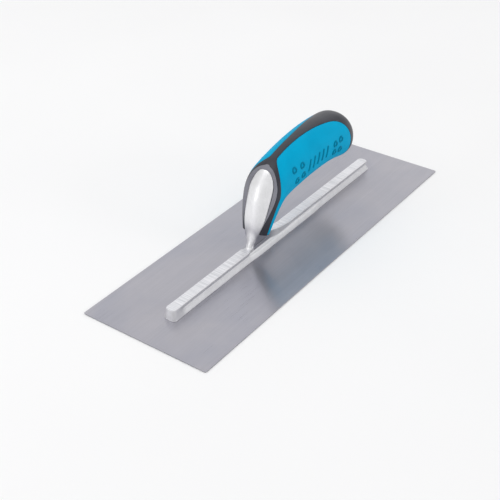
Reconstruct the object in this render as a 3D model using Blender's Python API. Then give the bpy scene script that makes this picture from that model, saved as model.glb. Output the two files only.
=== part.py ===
"""Steel finishing trowel: a riveted blade, a cast mounting with its shank and tang, and a moulded grip.

The origin is on the underside of the blade, at its middle. X runs along the blade towards the free
end of the grip, and Z is up. Sizes are in millimetres and become metres in the meshes.
"""
import math

import bmesh
import bpy
import numpy as np
from mathutils import Matrix, Vector

MM = 0.001
GAP = 0.3                   # space kept between pieces that touch

# Blade
BLADE_LENGTH = 356.0        # a 14 inch blade
BLADE_WIDTH = 120.0         # 4 3/4 inch
BLADE_THICKNESS = 0.7
BLADE_CORNER = 1.5

# Rail: the long foot of the mounting, riveted along the middle of the blade
RAIL_START = -147.0
RAIL_END = 145.0
RAIL_TOP = 9.3              # above the blade's upper face, as are all heights below
RAIL_CORNER = 3.2
# height, half-width along most of the rail, half-width beside the shank
RAIL_PROFILE = (
    (GAP, 5.85, 6.45),
    (1.0, 5.7, 6.3),
    (4.1, 4.4, 5.0),
    (5.2, 4.0, 3.6),
    (6.2, 3.8, 3.0),
    (7.2, 4.5, 2.9),
    (RAIL_TOP, 4.4, 2.8),
)
FOOT_TOP = 5.0              # the foot of the rail, below this, swells beside the shank
FOOT_SWELL = (-50.0, -34.0, 46.0, 62.0)
NECK_ZONE = (-47.5, -45.5, 4.0, 10.0)   # here the rail has no top flange

# Rivets
RIVETS = 8
RIVET_FIRST = -133.0
RIVET_PITCH = 37.7
RIVET_RADIUS = 1.6
RIVET_HEAD_RADIUS = 2.8
RIVET_DEPTH = 5.5           # how far the stem stands into the rail
RIVET_SIDES = 16

# Web: the thin wall behind the shank that runs down into the rail: x, top, half-width
WEB_ROWS = (
    (-42.5, 6.5, 2.0), (-41.5, 10.5, 2.0), (-39.5, 17.0, 2.0), (-36.5, 27.0, 2.0),
    (-33.0, 36.0, 2.0), (-28.6, 36.0, 2.0), (-27.4, 27.5, 2.0), (-25.6, 20.8, 2.1),
    (-22.6, 16.6, 2.3), (-17.0, 13.9, 2.9), (-12.0, 12.7, 3.4), (-8.0, 12.0, 3.7),
    (-3.0, 10.9, 3.9), (2.0, 10.1, 4.0), (10.0, 9.1, 4.1),
)
WEB_FOOT = 4.6
WEB_EDGE = 0.6              # bevel along its top

# Shank: front centre x, z, side edge x, z, and half-width, up to the tip of its spoon face
SHANK_ROWS = (
    (-45.6, 7.6, -42.0, 6.5, 2.8),
    (-44.2, 9.4, -41.5, 9.0, 2.7),
    (-42.7, 12.0, -40.6, 12.0, 3.1),
    (-41.7, 14.5, -39.8, 14.5, 4.1),
    (-40.7, 18.5, -38.9, 18.5, 5.7),
    (-39.6, 24.0, -37.8, 24.0, 7.4),
    (-37.7, 34.0, -34.8, 32.8, 9.8),
    (-35.7, 43.0, -31.2, 41.8, 10.9),
    (-33.4, 52.0, -27.4, 50.6, 11.4),
    (-29.7, 60.2, -24.0, 58.6, 11.3),
    (-26.0, 66.0, -21.6, 64.0, 10.0),
    (-22.8, 70.2, -20.4, 68.6, 7.6),
    (-21.0, 72.3, -19.7, 71.6, 5.0),
    (-20.0, 73.3, -19.3, 73.0, 2.0),
)
SHANK_BACK = 2.2            # thickness behind the side edge
SHANK_POWER = 2.2
SHANK_SIDES = 20
SHANK_STEPS = 2             # sections from one row to the next

# Grip: upper line x, z, under line x, z, and half-width, from the shank to the tail
GRIP_ROWS = (
    (-39.3, 23.0, -25.4, 19.4, 12.3),
    (-36.2, 44.3, -19.6, 34.2, 16.2),
    (-26.6, 70.2, -16.4, 41.0, 19.5),
    (-10.0, 79.8, -5.4, 40.4, 16.8),
    (19.0, 86.0, 22.0, 44.0, 17.4),
    (50.6, 88.4, 55.5, 45.4, 18.1),
    (77.5, 86.2, 80.8, 42.4, 18.4),
    (95.5, 83.2, 94.0, 36.4, 20.6),
    (106.0, 70.5, 100.5, 34.2, 19.0),
)
GRIP_POWER = 2.15           # squareness of the oval section
GRIP_TAIL = 30.0            # length over which the tail rounds off
GRIP_SIDES = 28
GRIP_SPACING = 5.2          # between sections of the outer form
CORE_SIDES = 16
CORE_SPACING = 9.0
TAIL_STATIONS = 7
PANEL_STATIONS = 22
PANEL_END_STATIONS = 8
PANEL_COLUMNS = 9
PANEL_DEPTH = 2.2           # thickness of the side panels
PANEL_GAP = 0.5             # round them, in their recesses
SHELL_DEPTH = 4.5           # thickness of the soft shell over the core
CORE_START = 26.0           # along the grip's middle line

# Side panels: the seams are angles round the section, from the upper line
NECK_SEAM = 80.0
CREST_SEAM = 9.8
SEAM_FALL = (30.0, 53.0)
CREST_SPREAD = 16.0
SPREAD_RANGE = (61.0, 119.0)
SPREAD_POWER = 2.2
PANEL_END = 142.6
PANEL_TIP = 0.2             # cut off the point where the seams meet
PANEL_END_ANGLE = 105.0
BELLY_SEAM = 160.0

# Lip: the shell's bevelled front rim. It runs from the side edge of each of the last shank rows
# up to a crest on the grip, given by its distance along the grip and its angle
LIP_CREST = (
    (2.0, 36.5), (9.5, 47.0), (17.2, 56.5), (26.0, 62.5), (33.0, 57.0), (37.0, 45.0), (40.0, 32.0),
    (42.0, 20.5), (43.4, 7.0),
)
LIP_STEPS = 3

# Tang and the screw that holds the grip on it
TANG_RANGE = (22.0, 104.0)
TANG_HALF = (5.4, 4.2)      # half-width at the shank and at the end
TANG_DEPTH = (6.0, 4.4)     # half-depth at the shank and at the end
TANG_STEPS = 12
SCREW_TAIL = (103.5, 58.0)
SCREW_TOWARDS = (36.0, 67.0)
SCREW_RADIUS = 2.2
SCREW_HEAD_RADIUS = 4.0
SCREW_HEAD_HEIGHT = 3.6
SCREW_LENGTH = 48.0
SCREW_SEAT = 15.0           # from the tail to the top of the head
HEX_RADIUS = 2.2
HEX_DEPTH = 2.2
WASHER_RADIUS = 5.0
WASHER_HEIGHT = 1.2
BORE_RADIUS = 5.6


def clear_scene():
    for item in list(bpy.data.objects):
        bpy.data.objects.remove(item, do_unlink=True)


def collection(name):
    group = bpy.data.collections.new(name)
    bpy.context.scene.collection.children.link(group)
    return group


def material(name, color, roughness, metallic):
    made = bpy.data.materials.new(name)
    made.use_nodes = True
    shader = made.node_tree.nodes["Principled BSDF"]
    shader.inputs["Base Color"].default_value = (*color, 1.0)
    shader.inputs["Roughness"].default_value = roughness
    shader.inputs["Metallic"].default_value = metallic
    made.diffuse_color = (*color, 1.0)
    return made


def point(x, y, height):
    """A place given by its height above the blade's upper face."""
    return Vector((x * MM, y * MM, (BLADE_THICKNESS + height) * MM))


def add(name, mesh, group, surface=None, smooth=None):
    """Make an object from a mesh, shaded smooth below the given edge angle."""
    made = bpy.data.objects.new(name, mesh)
    group.objects.link(made)
    if surface:
        mesh.materials.clear()
        mesh.materials.append(surface)
    if smooth:
        mesh.shade_smooth()
        mesh.set_sharp_from_angle(angle=math.radians(smooth))
    return made


def cutter(name, mesh, group):
    made = add(name, mesh, group)
    made.hide_render = True
    made.display_type = "WIRE"
    return made


def boolean(target, other, operation):
    step = target.modifiers.new(operation.lower() + "_" + other.name, "BOOLEAN")
    step.operation = operation
    step.object = other


def skin(name, rings, tip=None):
    """A closed loft through rings of equal length, with flat ends or a last point."""
    shape = bmesh.new()
    loops = [[shape.verts.new(place) for place in ring] for ring in rings]
    for near, far in zip(loops, loops[1:]):
        for i, start in enumerate(near):
            j = (i + 1) % len(near)
            shape.faces.new((start, near[j], far[j], far[i]))
    shape.faces.new(list(reversed(loops[0])))
    if tip is None:
        shape.faces.new(loops[-1])
    else:
        apex = shape.verts.new(tip)
        for i, start in enumerate(loops[-1]):
            shape.faces.new((start, loops[-1][(i + 1) % len(loops[-1])], apex))
    bmesh.ops.recalc_face_normals(shape, faces=shape.faces)
    bmesh.ops.triangulate(shape, faces=shape.faces)
    mesh = bpy.data.meshes.new(name)
    shape.to_mesh(mesh)
    shape.free()
    return mesh


def outline_mesh(name, points, half_depth):
    """A flat outline in X and Y made solid, half_depth to each side of it."""
    curve = bpy.data.curves.new(name, "CURVE")
    curve.dimensions = "2D"
    curve.fill_mode = "BOTH"
    curve.extrude = half_depth * MM
    spline = curve.splines.new("POLY")
    spline.points.add(len(points) - 1)
    for knot, (x, y) in zip(spline.points, points):
        knot.co = (x * MM, y * MM, 0.0, 1.0)
    spline.use_cyclic_u = True
    holder = bpy.data.objects.new(name, curve)
    bpy.context.scene.collection.objects.link(holder)
    bpy.context.view_layer.update()
    graph = bpy.context.evaluated_depsgraph_get()
    mesh = bpy.data.meshes.new_from_object(holder.evaluated_get(graph))
    bpy.data.objects.remove(holder, do_unlink=True)
    shape = bmesh.new()
    shape.from_mesh(mesh)
    bmesh.ops.remove_doubles(shape, verts=shape.verts, dist=0.00001)
    bmesh.ops.recalc_face_normals(shape, faces=shape.faces)
    shape.to_mesh(mesh)
    shape.free()
    return mesh


def rod(name, radius, start, end, sides=24):
    """A cylinder between two places."""
    axis = end - start
    shape = bmesh.new()
    bmesh.ops.create_cone(shape, cap_ends=True, segments=sides, radius1=radius * MM,
                          radius2=radius * MM, depth=axis.length)
    turn = Vector((0, 0, 1)).rotation_difference(axis).to_matrix().to_4x4()
    shape.transform(Matrix.Translation((start + end) / 2) @ turn)
    mesh = bpy.data.meshes.new(name)
    shape.to_mesh(mesh)
    shape.free()
    return mesh


def rounded_plan(half_length, half_width, corner, steps):
    """A rectangle with round corners, anticlockwise, as x, y pairs."""
    points = []
    for turn, (sx, sy) in enumerate(((1, 1), (-1, 1), (-1, -1), (1, -1))):
        for step in range(steps + 1):
            angle = math.radians(90 * turn + 90 * step / steps)
            points.append((sx * (half_length - corner) + corner * math.cos(angle),
                           sy * (half_width - corner) + corner * math.sin(angle)))
    return points


def smooth_step(value):
    value = min(max(value, 0.0), 1.0)
    return value * value * (3 - 2 * value)


def blended_rows(rows, where):
    """Rows of a clamped cubic B-spline, read at where, from 0 to 1."""
    rows = np.asarray(rows, float)
    knots = np.concatenate([[0.0] * 3, np.linspace(0, 1, len(rows) - 2), [1.0] * 3])
    where = np.clip(np.atleast_1d(where), 0, 1 - 1e-9)
    weights = [((where >= low) & (where < high)).astype(float) for low, high in zip(knots, knots[1:])]
    for degree in (1, 2, 3):
        blended = []
        for i in range(len(weights) - 1):
            value = np.zeros(len(where))
            if knots[i + degree] > knots[i]:
                value += (where - knots[i]) / (knots[i + degree] - knots[i]) * weights[i]
            if knots[i + degree + 1] > knots[i + 1]:
                span = knots[i + degree + 1] - knots[i + 1]
                value += (knots[i + degree + 1] - where) / span * weights[i + 1]
            blended.append(value)
        weights = blended
    return np.stack(weights[:len(rows)], 1) @ rows


def through_rows(rows, steps):
    """Rows of a smooth curve that passes through the given ones, in even steps between them."""
    rows = np.asarray(rows, float)
    padded = np.vstack([2 * rows[0] - rows[1], rows, 2 * rows[-1] - rows[-2]])
    made = []
    for before, start, end, after in zip(padded, padded[1:], padded[2:], padded[3:]):
        cubic = 3 * (start - end) + after - before
        square = 2 * before - 5 * start + 4 * end - after
        for i in range(steps):
            share = i / steps
            made.append(start + 0.5 * share * (end - before + share * (square + share * cubic)))
    return made + [rows[-1]]


class Grip:
    """The oval form of the grip, measured along its middle line in millimetres."""

    fine = blended_rows(GRIP_ROWS, np.linspace(0, 1, 800))
    middle = (fine[:, 0:2] + fine[:, 2:4]) / 2
    steps = np.hypot(*np.diff(middle, axis=0).T)
    travel = np.concatenate([[0.0], np.cumsum(steps)])
    length = float(travel[-1])

    @classmethod
    def row(cls, distance):
        return [float(np.interp(distance, cls.travel, column)) for column in cls.fine.T]

    @classmethod
    def step(cls, distance):
        """A millimetre's step along the middle line."""
        here = cls.row(distance)
        there = cls.row(distance + 1)
        return point((there[0] + there[2] - here[0] - here[2]) / 2, 0,
                     (there[1] + there[3] - here[1] - here[3]) / 2) - point(0, 0, 0)

    @classmethod
    def place(cls, distance, degrees, inset=0.0):
        """A place on the grip, or inset below its surface, at an angle from the upper line."""
        top_x, top_z, under_x, under_z, half = cls.row(distance)
        middle = Vector(((top_x + under_x) / 2, (top_z + under_z) / 2))
        rise = Vector((top_x, top_z)) - middle
        shrink = 1.0
        past = distance - (cls.length - GRIP_TAIL)
        if past > 0:
            shrink = math.sqrt(max(0.0, 1 - (past / (GRIP_TAIL - inset)) ** 2))
        rise *= (rise.length - inset) / rise.length * shrink
        cosine = math.cos(math.radians(degrees))
        sine = math.sin(math.radians(degrees))
        up = math.copysign(abs(cosine) ** (2 / GRIP_POWER), cosine)
        across = math.copysign(abs(sine) ** (2 / GRIP_POWER), sine)
        return point(middle.x + rise.x * up, (half - inset) * shrink * across, middle.y + rise.y * up)


def grip_stations(start, inset, spacing):
    """Distances along the grip: even steps, then closer ones round the tail."""
    tail_start = Grip.length - GRIP_TAIL
    count = round((tail_start - start) / spacing)
    even = [start + (tail_start - start) * i / count for i in range(count)]
    last = 0.97
    bends = [math.asin(last) * i / TAIL_STATIONS for i in range(TAIL_STATIONS + 1)]
    return even + [tail_start + (GRIP_TAIL - inset) * math.sin(bend) for bend in bends]


def grip_form(name, start, inset, sides, spacing):
    """The whole oval form from start to the tail, inset below the outer surface."""
    rings = []
    for distance in grip_stations(start, inset, spacing):
        rings.append([Grip.place(distance, 360 * i / sides, inset) for i in range(sides)])
    return skin(name, rings, tip=Grip.place(Grip.length - inset, 0, inset))


def tail_turn(distance):
    """How far the seams have turned towards the panel's end, from 0 to 1."""
    along = min(1.0, max(0.0, (distance - SPREAD_RANGE[1]) / (PANEL_END - SPREAD_RANGE[1])))
    return 1 - math.sqrt(1 - along ** 3)


def upper_seam(distance):
    """Angle of the side panel's front and upper edge."""
    start, end = SEAM_FALL
    low, high = SPREAD_RANGE
    fall = smooth_step((distance - start) / (end - start))
    spread = max(0.0, distance - low) / (high - low)
    seam = NECK_SEAM + (CREST_SEAM - NECK_SEAM) * fall + CREST_SPREAD * spread ** SPREAD_POWER
    return seam + (PANEL_END_ANGLE - seam) * tail_turn(distance)


def lower_seam(distance):
    """Angle of the side panel's edge under the grip."""
    return BELLY_SEAM + (PANEL_END_ANGLE - BELLY_SEAM) * tail_turn(distance)


def panel_form(name, side, grow, outer):
    """A side panel, or its recess when grow opens it by that much, on side 1 or -1."""
    turn = SPREAD_RANGE[1]
    stations = [turn * i / PANEL_STATIONS for i in range(PANEL_STATIONS)]
    stations += [turn + (PANEL_END - PANEL_TIP - turn) * math.sin(math.pi / 2 * i / PANEL_END_STATIONS)
                 for i in range(PANEL_END_STATIONS + 1)]
    rings = []
    for distance in stations:
        top_x, top_z, under_x, under_z, half = Grip.row(distance)
        open_by = math.degrees(grow / min(half, math.hypot(top_x - under_x, top_z - under_z) / 2))
        low = min(upper_seam(distance), upper_seam(distance + grow)) - open_by
        high = lower_seam(distance) + open_by
        angles = [low + (high - low) * i / PANEL_COLUMNS for i in range(PANEL_COLUMNS + 1)]
        ring = [Grip.place(distance, side * angle, outer) for angle in angles]
        ring += [Grip.place(distance, side * angle, PANEL_DEPTH + grow) for angle in reversed(angles)]
        rings.append(ring)
    if grow:
        for ring, distance, along in ((rings[0], stations[0], -1), (rings[-1], stations[-1], 1)):
            shift = Grip.step(distance) * along * grow
            ring[:] = [place + shift for place in ring]
    return skin(name, rings)


def shank_form(name, grow):
    """The shank from its foot in the rail up to the tip of its spoon face."""
    rings = []
    for front_x, front_z, edge_x, edge_z, half in through_rows(SHANK_ROWS, SHANK_STEPS):
        edge = Vector((edge_x, edge_z))
        forward = Vector((front_x, front_z)) - edge
        unit = forward.normalized()
        forward += unit * grow
        backward = unit * -(SHANK_BACK * min(1.0, half / 4) + grow)
        ring = []
        for i in range(SHANK_SIDES):
            angle = math.tau * i / SHANK_SIDES
            reach = math.copysign(abs(math.cos(angle)) ** (2 / SHANK_POWER), math.cos(angle))
            across = math.copysign(abs(math.sin(angle)) ** (2 / SHANK_POWER), math.sin(angle))
            offset = forward * reach if reach > 0 else backward * -reach
            ring.append(point(edge.x + offset.x, (half + grow) * across, edge.y + offset.y))
        rings.append(ring)
    return skin(name, rings)


def tang_form(name, grow):
    """The tapered bar that carries the grip, along the grip's middle line."""
    rings = []
    start, end = TANG_RANGE
    for i in range(TANG_STEPS + 1):
        share = i / TANG_STEPS
        half = TANG_HALF[0] + (TANG_HALF[1] - TANG_HALF[0]) * share + grow
        depth = TANG_DEPTH[0] + (TANG_DEPTH[1] - TANG_DEPTH[0]) * share + grow
        row = Grip.row(start + (end - start) * share + (grow if i == TANG_STEPS else 0.0))
        middle = Vector(((row[0] + row[2]) / 2, (row[1] + row[3]) / 2))
        rise = (Vector((row[0], row[1])) - middle).normalized()
        plan = rounded_plan(depth, half, 1.5, 2)
        rings.append([point(middle.x + rise.x * up, across, middle.y + rise.y * up)
                      for up, across in plan])
    return skin(name, rings)


def zone_share(x, zone):
    """0 outside a zone and 1 inside it, with a smooth change at each end."""
    rise = smooth_step((x - zone[0]) / (zone[1] - zone[0]))
    return rise * (1 - smooth_step((x - zone[2]) / (zone[3] - zone[2])))


def rail_form(name):
    """The rail as a stack of long plans, each with the half-width of its height."""
    widest = RAIL_PROFILE[0][1]
    centre = (RAIL_START + RAIL_END) / 2
    breaks = []
    for zone in (FOOT_SWELL, NECK_ZONE):
        for low, high in (zone[:2], zone[2:]):
            breaks += [low + (high - low) * i / 4 - centre for i in range(5)]
    breaks.sort()
    rings = []
    for height, wide, beside in RAIL_PROFILE:
        half_length = (RAIL_END - RAIL_START) / 2 - (widest - wide)
        corner = min(RAIL_CORNER, wide)
        zone = FOOT_SWELL if height < FOOT_TOP else NECK_ZONE
        plan = rounded_plan(half_length, wide, corner, 5)
        quarter = len(plan) // 4
        far_side = [(x, wide) for x in reversed(breaks)]
        near_side = [(x, -wide) for x in breaks]
        plan = plan[:quarter] + far_side + plan[quarter:3 * quarter] + near_side + plan[3 * quarter:]
        ring = []
        for x, y in plan:
            share = zone_share(x + centre, zone)
            ring.append(point(x + centre, y * (1 + (beside / wide - 1) * share), height))
        rings.append(ring)
    return skin(name, rings)


def web_form(name, grow):
    """The web as upright sections along X, with small bevels along the top."""
    rings = []
    for x, top, half in WEB_ROWS:
        top += grow
        half += grow
        section = ((-half, WEB_FOOT), (half, WEB_FOOT), (half, top - WEB_EDGE),
                   (half - WEB_EDGE, top), (WEB_EDGE - half, top), (-half, top - WEB_EDGE))
        rings.append([point(x + (grow if x > -29 else -grow), y, z) for y, z in section])
    return skin(name, rings)


def lip_cut(name):
    """The space in front of the shell's bevelled rim."""
    edges = SHANK_ROWS[-len(LIP_CREST):]
    rows = [(*crest, x, z, half) for crest, (_, _, x, z, half) in zip(LIP_CREST, edges)]
    rings = []
    for distance, degrees, x, z, half in through_rows(rows, LIP_STEPS):
        sides = []
        for side in (1, -1):
            edge = point(x, side * (half - GAP), z + GAP)
            crest = Grip.place(distance, side * degrees)
            beyond = crest + (crest - edge).normalized() * 2.5 * MM
            sides.append([edge, beyond, Grip.place(distance, side * degrees, -9.0)])
        rings.append(sides[0] + [Grip.place(distance, 0, -13.0)] + sides[1][::-1])
    return skin(name, rings)


def rivet_places():
    return [RIVET_FIRST + RIVET_PITCH * i for i in range(RIVETS)]


def rivet_form(name, x, grow):
    """A countersunk rivet: a turned profile from its head in the blade up into the rail."""
    stem = RIVET_RADIUS + grow
    head = RIVET_HEAD_RADIUS + grow
    below = -BLADE_THICKNESS - (1.0 if grow else 0.0)
    levels = [(head, below), (head, -BLADE_THICKNESS + 0.1), (stem, 0.0), (stem, RIVET_DEPTH + grow)]
    rings = []
    for radius, height in levels:
        rings.append([point(x + radius * math.cos(math.tau * i / RIVET_SIDES),
                            radius * math.sin(math.tau * i / RIVET_SIDES), height)
                      for i in range(RIVET_SIDES)])
    return skin(name, rings)


def make_blade(group, cutters, surface):
    plan = rounded_plan(BLADE_LENGTH / 2, BLADE_WIDTH / 2, BLADE_CORNER, 4)
    mesh = outline_mesh("blade", plan, BLADE_THICKNESS / 2)
    mesh.transform(Matrix.Translation((0, 0, BLADE_THICKNESS / 2 * MM)))
    blade = add("blade", mesh, group, surface)
    for hole in cutters:
        boolean(blade, hole, "DIFFERENCE")
    return blade


def screw_place(distance):
    """A place on the screw's axis, a distance in from the tail."""
    tail = point(SCREW_TAIL[0], 0, SCREW_TAIL[1])
    along = (point(SCREW_TOWARDS[0], 0, SCREW_TOWARDS[1]) - tail).normalized()
    return tail + along * distance * MM


def make_mounting(group, hidden, holes, surface):
    mounting = add("mounting", rail_form("mounting"), group, surface)
    for form in (web_form("web", 0.0), shank_form("shank", 0.0), tang_form("tang", 0.0)):
        boolean(mounting, cutter("form_" + form.name, form, hidden), "UNION")
    for hole in holes:
        boolean(mounting, hole, "DIFFERENCE")
    pilot = rod("pilot", SCREW_RADIUS + GAP, screw_place(SCREW_SEAT + 20),
                screw_place(SCREW_SEAT + SCREW_LENGTH + 2))
    boolean(mounting, cutter("pilot_hole", pilot, hidden), "DIFFERENCE")
    return mounting


def make_rivets(group, hidden, surface):
    """The rivets, and the holes that they pass through."""
    holes = []
    for i, x in enumerate(rivet_places(), start=1):
        add(f"rivet_{i}", rivet_form(f"rivet_{i}", x, 0.0), group, surface, smooth=30)
        holes.append(cutter(f"hole_{i}", rivet_form(f"hole_{i}", x, GAP), hidden))
    return holes


def make_grip(group, hidden, shell_surface, core_surface, panel_surface):
    shank_room = cutter("room_shank", shank_form("room_shank", GAP), hidden)
    tang_room = cutter("room_tang", tang_form("room_tang", GAP), hidden)
    web_room = cutter("room_web", web_form("room_web", GAP), hidden)
    bore_end = screw_place(SCREW_SEAT + SCREW_HEAD_HEIGHT + WASHER_HEIGHT + GAP)
    bore = cutter("screw_bore", rod("bore", BORE_RADIUS, screw_place(-20), bore_end), hidden)
    stem = rod("stem", SCREW_RADIUS + GAP, screw_place(0), screw_place(SCREW_SEAT + SCREW_LENGTH + 2))
    stem = cutter("screw_stem", stem, hidden)

    shell_form = grip_form("grip_shell", 0.0, 0.0, GRIP_SIDES, GRIP_SPACING)
    shell = add("grip_shell", shell_form, group, shell_surface, smooth=40)
    core_room = grip_form("room_core", CORE_START - GAP, SHELL_DEPTH, CORE_SIDES, CORE_SPACING)
    core_room = cutter("room_core", core_room, hidden)
    rim = cutter("lip_cut", lip_cut("lip_cut"), hidden)
    for room in (rim, shank_room, tang_room, web_room, bore, core_room):
        boolean(shell, room, "DIFFERENCE")
    for side, name in ((1, "left"), (-1, "right")):
        add("side_panel_" + name, panel_form("side_panel_" + name, side, 0.0, 0.0), group,
            panel_surface, smooth=40)
        recess = panel_form("recess_" + name, side, PANEL_GAP, -1.0)
        boolean(shell, cutter("recess_" + name, recess, hidden), "DIFFERENCE")

    core_form = grip_form("grip_core", CORE_START, SHELL_DEPTH + GAP, CORE_SIDES, CORE_SPACING)
    core = add("grip_core", core_form, group, core_surface, smooth=40)
    for room in (shank_room, tang_room, web_room, bore, stem):
        boolean(core, room, "DIFFERENCE")


def make_screw(group, hidden, surface):
    seat = screw_place(SCREW_SEAT)
    under_head = screw_place(SCREW_SEAT + SCREW_HEAD_HEIGHT)
    screw = add("grip_screw", rod("grip_screw", SCREW_HEAD_RADIUS, seat, under_head), group, surface)
    stem = rod("screw_thread", SCREW_RADIUS, screw_place(SCREW_SEAT + 1),
               screw_place(SCREW_SEAT + SCREW_LENGTH), sides=20)
    boolean(screw, cutter("screw_thread", stem, hidden), "UNION")
    socket = rod("hex_socket", HEX_RADIUS, screw_place(SCREW_SEAT - 2),
                 screw_place(SCREW_SEAT + HEX_DEPTH), sides=6)
    boolean(screw, cutter("hex_socket", socket, hidden), "DIFFERENCE")

    near = screw_place(SCREW_SEAT + SCREW_HEAD_HEIGHT + GAP)
    far = screw_place(SCREW_SEAT + SCREW_HEAD_HEIGHT + WASHER_HEIGHT)
    washer = add("screw_washer", rod("screw_washer", WASHER_RADIUS, near, far), group, surface)
    hole = rod("washer_hole", SCREW_RADIUS + GAP, screw_place(SCREW_SEAT), screw_place(SCREW_SEAT + 10))
    boolean(washer, cutter("washer_hole", hole, hidden), "DIFFERENCE")


def build():
    clear_scene()
    parts = collection("finishing_trowel")
    hidden = collection("cutters")
    steel = material("brushed steel", (0.56, 0.56, 0.60), 0.32, 1.0)
    cast = material("cast aluminium", (0.78, 0.78, 0.80), 0.38, 1.0)
    zinc = material("plated steel", (0.66, 0.67, 0.70), 0.30, 1.0)
    charcoal = material("charcoal rubber", (0.045, 0.043, 0.050), 0.62, 0.0)
    plastic = material("grey plastic", (0.10, 0.10, 0.11), 0.50, 0.0)
    blue = material("blue soft grip", (0.0, 0.36, 0.62), 0.50, 0.0)

    holes = make_rivets(parts, hidden, zinc)
    make_blade(parts, holes, steel)
    make_mounting(parts, hidden, holes, cast)
    make_grip(parts, hidden, charcoal, plastic, blue)
    make_screw(parts, hidden, zinc)


build()
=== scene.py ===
"""Looks of a steel finishing trowel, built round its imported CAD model.

Sizes are in millimetres, with heights above the blade's upper face, and become metres in the meshes.
The grip is described by the distance along its middle line and by an angle round its section from the
upper line.
"""

import math

import bmesh
import bpy
import numpy as np
from mathutils import Matrix, Vector
from mathutils.bvhtree import BVHTree


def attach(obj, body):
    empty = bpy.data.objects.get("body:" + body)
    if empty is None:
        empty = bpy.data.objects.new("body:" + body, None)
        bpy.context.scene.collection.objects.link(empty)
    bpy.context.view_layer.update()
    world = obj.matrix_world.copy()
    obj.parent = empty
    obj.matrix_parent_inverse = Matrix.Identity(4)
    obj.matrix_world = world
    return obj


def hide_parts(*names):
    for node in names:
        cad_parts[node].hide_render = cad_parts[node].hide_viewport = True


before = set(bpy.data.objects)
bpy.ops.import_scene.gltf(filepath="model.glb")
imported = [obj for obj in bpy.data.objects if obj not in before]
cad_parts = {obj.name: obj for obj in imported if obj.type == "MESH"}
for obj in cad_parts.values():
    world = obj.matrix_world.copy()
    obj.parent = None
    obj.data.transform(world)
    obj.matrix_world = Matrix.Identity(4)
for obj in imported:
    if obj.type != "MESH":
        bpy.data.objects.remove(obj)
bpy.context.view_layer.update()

MM = 0.001
BODY = "root"
CLEARANCE = 0.05            # between a piece and the one it rests on
ROOM = 0.15                 # round a piece that sits inside another

# Blade
BLADE_LENGTH = 356.0
BLADE_WIDTH = 120.0
BLADE_THICKNESS = 0.7
BLADE_CORNER = 1.5
BLADE_EDGE = 0.12           # rounding of its rim
QUARTER_TURN = np.linspace(0, math.pi / 2, 9)   # angles round a corner of the blade or rail

# Rail
RAIL_START = -147.0
RAIL_END = 145.0
RAIL_TOP = 9.3
RAIL_CORNER = 3.2
RAIL_SPACING = 1.2
RAIL_RIM = 9.2              # above this height the toe is drawn in by RIM_STEP
RIM_STEP = 0.35
RAIL_BASE = 1.0             # below this height the toe is as wide as the foot
# height, half-width along most of the rail, half-width beside the shank
RAIL_PROFILE = (
    (CLEARANCE, 5.75, 6.35), (0.3, 5.85, 6.45), (0.8, 5.75, 6.35), (2.4, 5.1, 5.7), (4.0, 4.45, 5.0),
    (4.7, 4.2, 4.35), (5.3, 3.95, 3.5), (6.0, 3.8, 3.0), (6.8, 3.95, 2.9), (7.3, 4.45, 2.9),
    (8.8, 4.5, 2.9), (9.12, 4.4, 2.8), (RAIL_TOP, 4.12, 2.5),
)
FOOT_TOP = 5.0
FOOT_SWELL = (-50.0, -34.0, 46.0, 62.0)
NECK_ZONE = (-47.5, -45.5, 4.0, 10.0)
TOE_SOLID = (-141.0, -131.0)  # the rail's toe has no groove before the first of these
TOE_SLOPE = 0.13

# How the casting is finished, and where shade is painted behind the shank: x of the painted shade,
# the height above the foot where it starts, its depth and the share of that depth where it begins to fade
SHADE_ZONE = (-40.2, -39.0, -20.0, -6.0)
SHADE_START = 1.0
SHADE_DEPTH = 15.0
SHADE_FADE = 0.8
SATIN_TOP = RAIL_TOP + 0.5  # satin up to here, and polished from SATIN_FADE higher
SATIN_FADE = 5.0
MILLED_BELOW = 0.35         # how far under the rail's top a milled face may lie
MILLED_LIMIT = 15.3         # above this height nothing is milled
MILLED_FACING = 0.93        # how squarely a milled face looks up
UNMILLED = (-47.5, -30.0)   # the stretch of the rail under the shank

# Web behind the shank: x, top, half-width
WEB_ROWS = (
    (-42.5, 6.5, 2.0), (-41.5, 10.5, 2.0), (-39.5, 17.0, 2.0), (-36.5, 27.0, 2.0),
    (-33.0, 36.0, 2.0), (-28.6, 36.0, 2.0), (-27.4, 27.5, 2.0), (-25.6, 20.8, 2.1),
    (-22.6, 16.6, 2.3), (-17.0, 13.9, 2.9), (-12.0, 12.7, 3.4), (-8.0, 12.0, 3.7),
    (-3.0, 10.9, 3.9), (2.0, 10.1, 4.0), (10.0, 9.1, 4.1),
)
WEB_FINE = (-42.5, -22.0, 0.35)     # from, to and spacing of its sections near the shank
WEB_COARSE = (-22.0, 10.0, 1.0)     # and further back
WEB_FOOT = 4.6
WEB_EDGE = 0.45
WEB_FILLET = 1.2
WEB_FILLET_FOOT = 5.5       # the fillet starts above this height
WEB_BEHIND = 20.0           # an x behind the whole shank

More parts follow.
